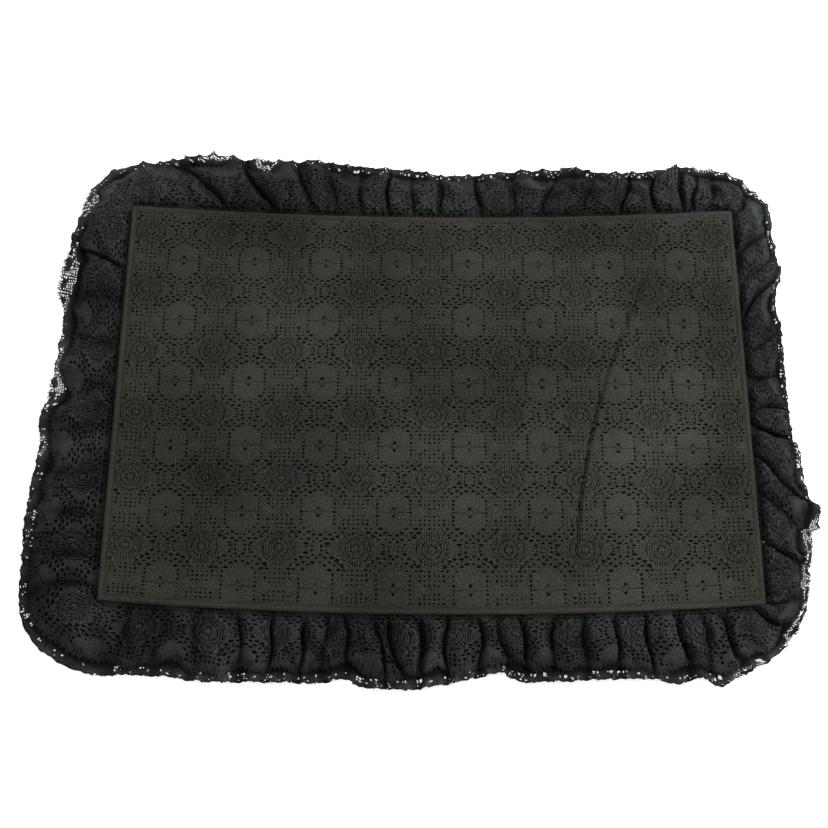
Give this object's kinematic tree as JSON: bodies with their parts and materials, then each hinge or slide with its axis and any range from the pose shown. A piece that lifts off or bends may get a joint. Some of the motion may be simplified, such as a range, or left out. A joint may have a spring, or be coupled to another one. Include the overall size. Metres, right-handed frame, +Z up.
{
  "type": "frilled lace table mat",
  "caption": "Rectangular cloth table mat faced with patterned lace on a plain lining, with a double gathered lace frill sewn in all round.",
  "frame": {"origin": "on the table, under the middle of the whole mat, frill included", "axes": "+X along the long side, +Y across the mat, +Z up, out of the lace face"},
  "size_m": [0.5482, 0.4037, 0.0079],
  "materials": {
    "plain_cloth": "matt black plain weave",
    "panel_lace": "matt black warp-knitted lace, slightly faded",
    "frill_lace": "matt black warp-knitted lace with a picot edge",
    "sewing_thread": "soft sheen spun thread"
  },
  "bodies": {
    "root": {"back_cloth": "plain_cloth", "face_lining": "plain_cloth", "face_lace": "panel_lace", "under_frill": "frill_lace", "upper_frill": "frill_lace", "under_gathering_thread": "sewing_thread", "upper_gathering_thread": "sewing_thread", "seam_thread": "sewing_thread", "topstitch_needle_thread": "sewing_thread", "topstitch_bobbin_thread": "sewing_thread", "under_join_thread": "sewing_thread", "upper_join_thread": "sewing_thread"}
  },
  "joints": []
}
